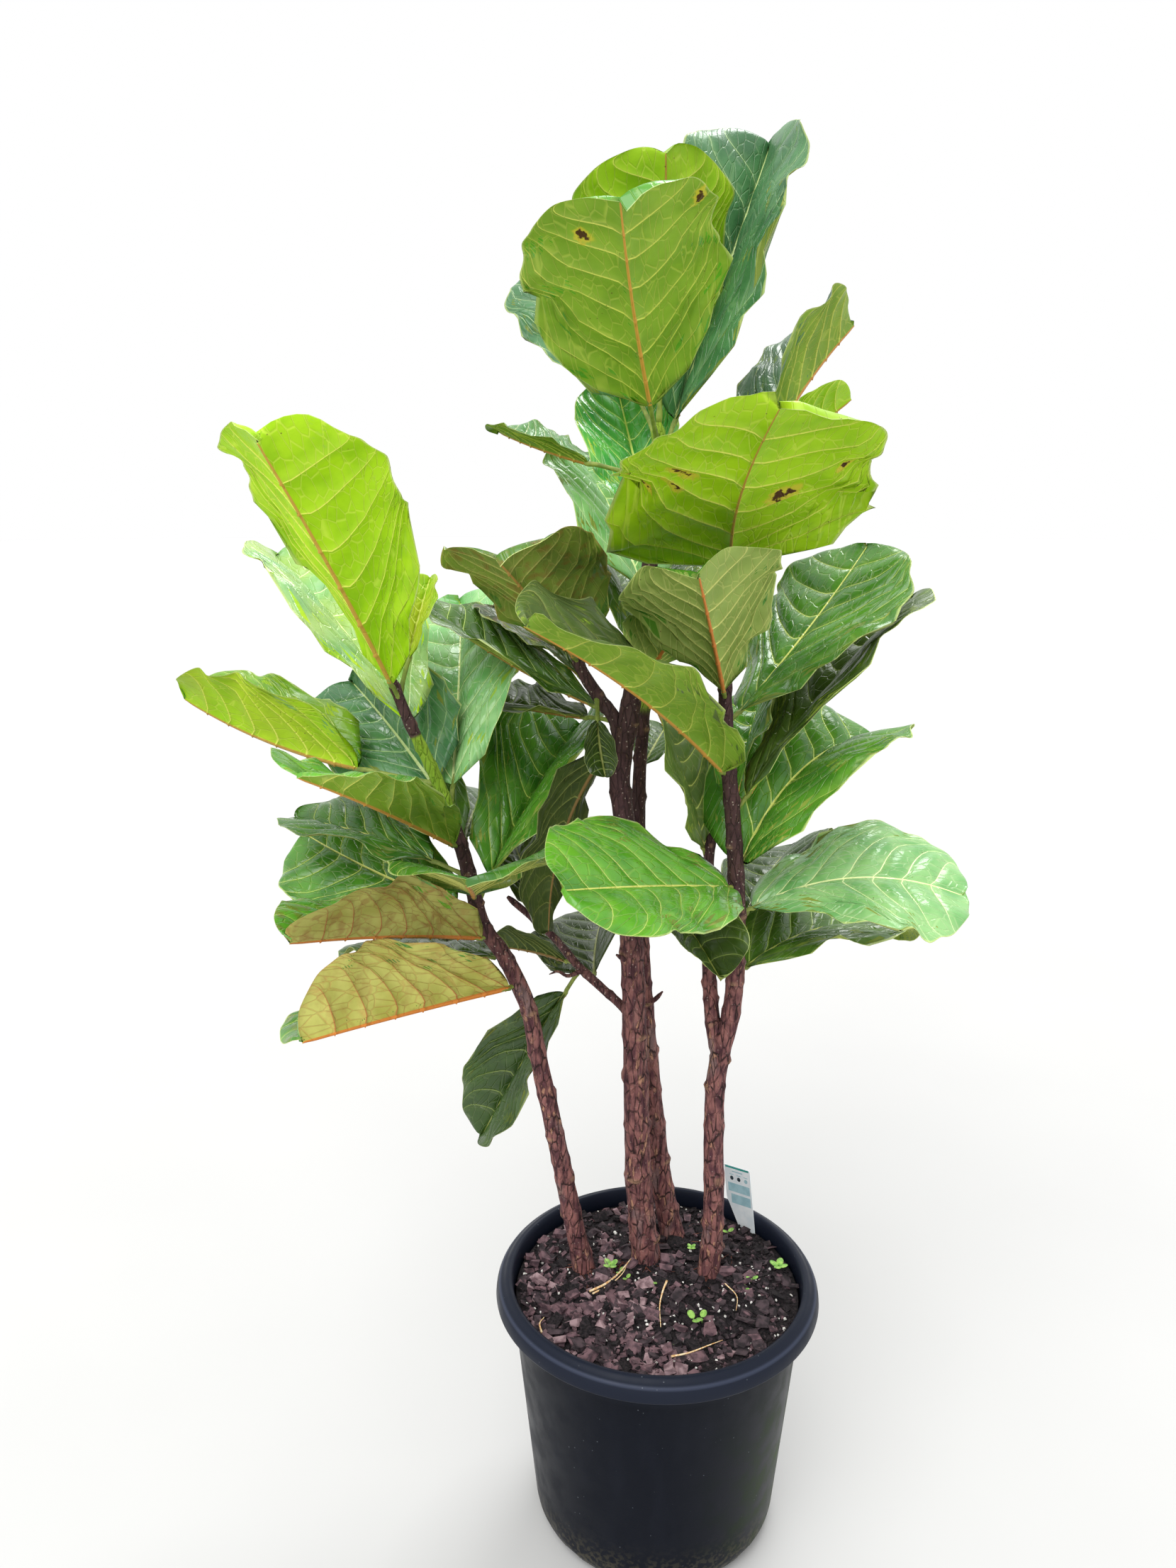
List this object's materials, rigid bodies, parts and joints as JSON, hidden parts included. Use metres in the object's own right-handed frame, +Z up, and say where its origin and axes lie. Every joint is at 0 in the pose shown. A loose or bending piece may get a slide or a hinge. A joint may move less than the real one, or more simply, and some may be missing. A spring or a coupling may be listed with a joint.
{
  "type": "potted fiddle leaf fig",
  "caption": "Free-standing fiddle leaf fig with woody stems and large waisted leaves, rooted in a round black nursery pot.",
  "frame": {"origin": "centre of the pot's base, on the floor", "axes": "+Z up along the stems, -Y towards the plant's front, +X to the right of the front view"},
  "size_m": [0.917, 0.6636, 1.6615],
  "materials": {
    "pot_plastic": "satin black, injection moulded",
    "potting_mix": "dark damp bark and peat with perlite",
    "bark": "reddish brown flaking bark",
    "leaf_green": "deep green leathery blade, pale veins",
    "leaf_lime": "bright lime-green blade, yellow veins",
    "leaf_blue_green": "grey-green blade, pale veins",
    "leaf_bronze": "olive underside with rust-brown veins",
    "label_card": "pale plastic stake label"
  },
  "bodies": {
    "root": {"pot": "pot_plastic", "soil_mix": "potting_mix", "trunk_left": "bark", "trunk_centre": "bark", "trunk_rear": "bark", "trunk_right": "bark", "plant_label": "label_card", "leaf_01": "leaf_lime", "leaf_02": "leaf_lime", "leaf_03": "leaf_blue_green", "leaf_04": "leaf_blue_green", "leaf_05": "leaf_green", "leaf_06": "leaf_blue_green", "leaf_07": "leaf_blue_green", "leaf_08": "leaf_lime", "leaf_09": "leaf_lime", "leaf_10": "leaf_lime", "leaf_11": "leaf_blue_green", "leaf_12": "leaf_green", "leaf_13": "leaf_blue_green", "leaf_14": "leaf_green", "leaf_15": "leaf_green", "leaf_16": "leaf_green", "leaf_17": "leaf_green", "leaf_18": "leaf_lime", "leaf_19": "leaf_green", "leaf_20": "leaf_lime", "leaf_21": "leaf_blue_green", "leaf_22": "leaf_green", "leaf_23": "leaf_green", "leaf_24": "leaf_green", "leaf_25": "leaf_green", "leaf_26": "leaf_bronze", "leaf_27": "leaf_green", "leaf_28": "leaf_blue_green", "leaf_29": "leaf_green", "leaf_30": "leaf_lime", "leaf_31": "leaf_blue_green", "leaf_32": "leaf_green", "leaf_33": "leaf_lime", "leaf_34": "leaf_lime", "leaf_35": "leaf_blue_green", "leaf_36": "leaf_bronze", "leaf_37": "leaf_blue_green", "leaf_38": "leaf_blue_green", "leaf_39": "leaf_bronze", "leaf_40": "leaf_green", "leaf_41": "leaf_bronze", "leaf_42": "leaf_green", "leaf_43": "leaf_bronze", "leaf_44": "leaf_bronze", "leaf_45": "leaf_green", "leaf_46": "leaf_green", "leaf_47": "leaf_green", "leaf_48": "leaf_green", "leaf_49": "leaf_green", "leaf_50": "leaf_green", "leaf_51": "leaf_green", "leaf_52": "leaf_green", "leaf_53": "leaf_green"}
  },
  "joints": []
}
